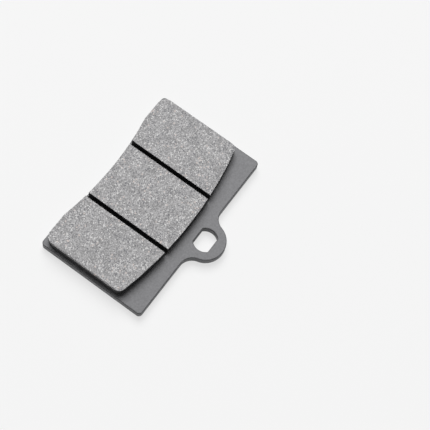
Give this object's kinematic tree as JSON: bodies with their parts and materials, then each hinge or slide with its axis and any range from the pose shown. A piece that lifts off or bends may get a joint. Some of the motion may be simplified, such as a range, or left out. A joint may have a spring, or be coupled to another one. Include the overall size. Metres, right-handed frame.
{
  "type": "bicycle disc brake pad",
  "caption": "Flat steel backing plate with a pin tab and a shallow hub-side curve, carrying a grooved friction lining that is pressed against a bicycle's brake disc.",
  "frame": {"origin": "the middle of the backing plate's rectangle, without its tab, on the plate's back face", "axes": "+X along the pad, along the disc's track; +Y across the pad, towards the wheel's hub, with the tab pointing to -Y; +Z out of the friction face, towards the disc"},
  "size_m": [0.04, 0.0292, 0.0039],
  "materials": {
    "powder_coat": "satin dark grey powder coat on a stamped steel plate",
    "friction_compound": "matt mid grey moulded friction compound with fine light, dark and copper-coloured specks"
  },
  "bodies": {
    "root": {"backing_plate": "powder_coat", "friction_lining": "friction_compound"}
  },
  "joints": []
}
